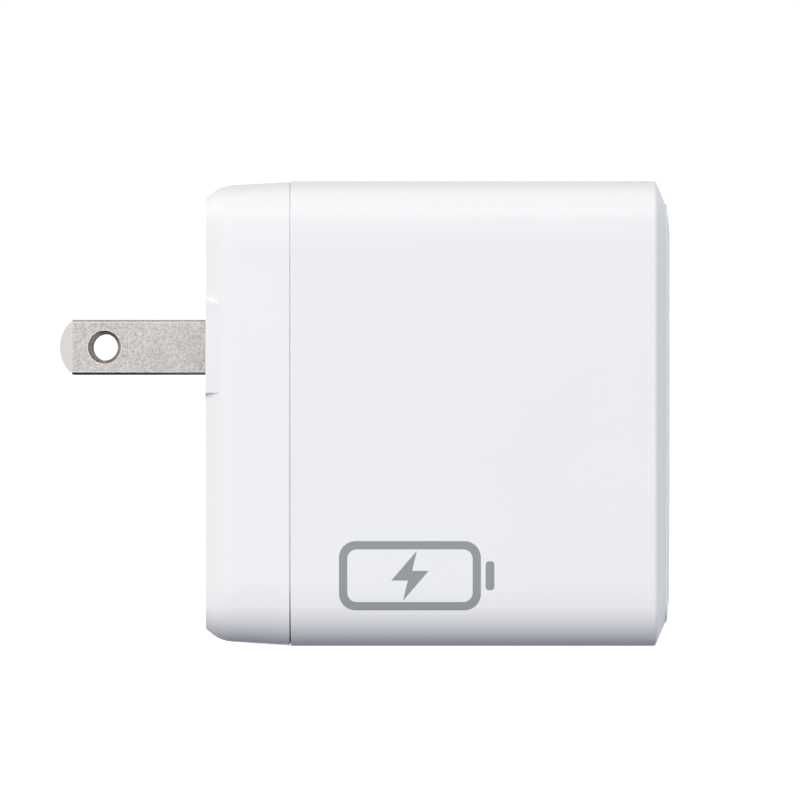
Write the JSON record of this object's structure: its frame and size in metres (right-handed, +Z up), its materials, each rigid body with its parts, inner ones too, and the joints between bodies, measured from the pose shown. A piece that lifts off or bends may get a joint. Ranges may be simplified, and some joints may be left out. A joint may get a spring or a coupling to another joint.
{
  "type": "wall-plug power adapter",
  "caption": "White wall-plug power adapter: rounded block with folding flat mains blades on its rear face and output sockets in its front panel.",
  "frame": {"origin": "centre of the flat rear face, which lies against the wall outlet", "axes": "+X from the wall towards the output sockets, along the longest extent; +Y across the thickness; +Z up, towards the edge that the blades are nearer to"},
  "size_m": [0.0709, 0.03, 0.054],
  "materials": {
    "white_plastic": "satin moulded white with a fine texture",
    "barrel_plastic": "satin moulded white",
    "blade_metal": "matte nickel plate, fine grain",
    "spring_steel": "plain",
    "contact_bronze": "phosphor bronze",
    "lead_brown": "wire insulation",
    "lead_blue": "wire insulation",
    "board_laminate": "green solder mask",
    "gold_contact": "gold flash",
    "port_steel": "satin stainless",
    "tongue_black": "moulded",
    "capacitor_sleeve": "shrink sleeve",
    "aluminium_can": "drawn can",
    "ferrite": "sintered",
    "bobbin_black": "moulded",
    "winding_tape": "polyester tape",
    "copper_wire": "enamelled copper",
    "film_box": "moulded box",
    "ceramic_blue": "epoxy dipped disc",
    "ceramic_green": "epoxy dipped disc",
    "chip_black": "moulded epoxy",
    "chip_ceramic": "chip capacitors and resistors",
    "spreader_aluminium": "rolled sheet",
    "insulation_film": "polyester film",
    "pad_silicone": "gap filler"
  },
  "bodies": {
    "housing": {"ac_contact_left": "contact_bronze", "ac_contact_right": "contact_bronze", "ac_lead_left": "lead_brown", "ac_lead_right": "lead_blue", "barrel_retainer": "barrel_plastic", "board_pins": "gold_contact", "bridge_rectifier": "chip_black", "buck_inductor": "ferrite", "bulk_capacitor_1": "capacitor_sleeve", "bulk_capacitor_2": "capacitor_sleeve", "chip_components": "chip_ceramic", "choke_core": "ferrite", "choke_windings": "copper_wire", "detent_spring": "spring_steel", "flyback_controller": "chip_black", "front_panel": "white_plastic", "fuse": "chip_black", "gan_switch": "chip_black", "heat_spreader_left": "spreader_aluminium", "heat_spreader_right": "spreader_aluminium", "inrush_thermistor": "ceramic_green", "insulating_sheet_left": "insulation_film", "insulating_sheet_right": "insulation_film", "main_board": "board_laminate", "main_shell": "white_plastic", "optocoupler": "chip_black", "output_capacitor_1": "aluminium_can", "output_capacitor_2": "aluminium_can", "pd_controller": "chip_black", "port_board": "board_laminate", "port_switches": "chip_black", "rear_cover": "white_plastic", "retainer_screws": "spring_steel", "sync_rectifier": "chip_black", "thermal_pad": "pad_silicone", "transformer_bobbin": "bobbin_black", "transformer_core_lower": "ferrite", "transformer_core_upper": "ferrite", "transformer_winding": "winding_tape", "usb_a_contacts": "gold_contact", "usb_a_shell": "port_steel", "usb_a_tongue": "tongue_black", "usb_c_contacts_lower": "gold_contact", "usb_c_contacts_upper": "gold_contact", "usb_c_shell_lower": "port_steel", "usb_c_shell_upper": "port_steel", "usb_c_tongue_lower": "tongue_black", "usb_c_tongue_upper": "tongue_black", "x_capacitor": "film_box", "y_capacitor": "ceramic_blue"},
    "plug": {"plug_barrel": "barrel_plastic", "blade_left": "blade_metal", "blade_right": "blade_metal"}
  },
  "joints": [
    {"name": "plug_fold", "type": "hinge", "parent": "housing", "child": "plug", "pos_m": [0.0035, 0, 0.0077], "axis": [0, -1, 0], "range_deg": [0, 90], "deforming": ["detent_spring"]}
  ]
}
